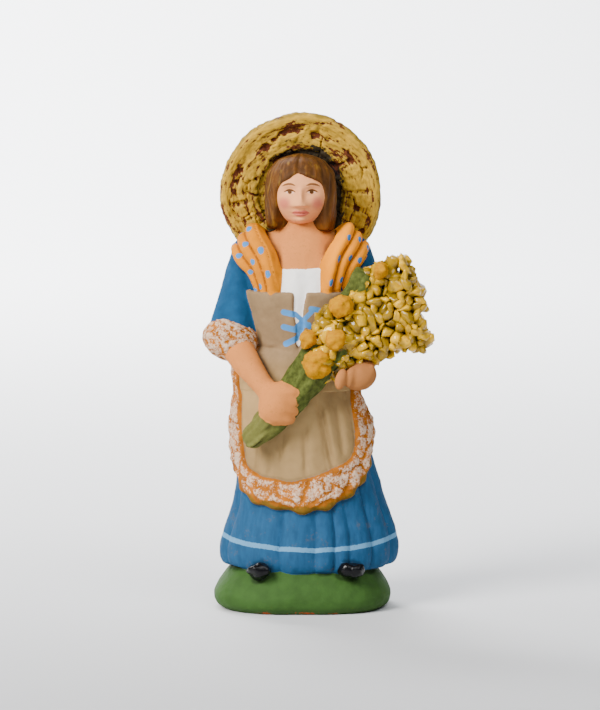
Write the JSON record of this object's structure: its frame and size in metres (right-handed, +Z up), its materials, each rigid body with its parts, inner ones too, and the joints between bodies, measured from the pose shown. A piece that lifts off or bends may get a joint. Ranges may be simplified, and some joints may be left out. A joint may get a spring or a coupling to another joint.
{
  "type": "painted clay figurine",
  "caption": "Small painted clay santon: a woman in a laced corset, apron and blue pleated skirt, with a straw hat behind her head, holding a bunch of mimosa on a green base.",
  "frame": {"origin": "centre of the base's flat underside, on the surface it stands on", "axes": "+Z up, the woman looks along -Y, +X to the viewer's right when facing her"},
  "size_m": [0.0319, 0.0238, 0.0694],
  "materials": {
    "figure": "matt paint on fired clay",
    "hat": "matt paint on fired clay",
    "mimosa": "glossy dyed grains set in glue"
  },
  "bodies": {
    "root": {"figure": "figure", "hat": "hat", "mimosa": "mimosa"}
  },
  "joints": []
}
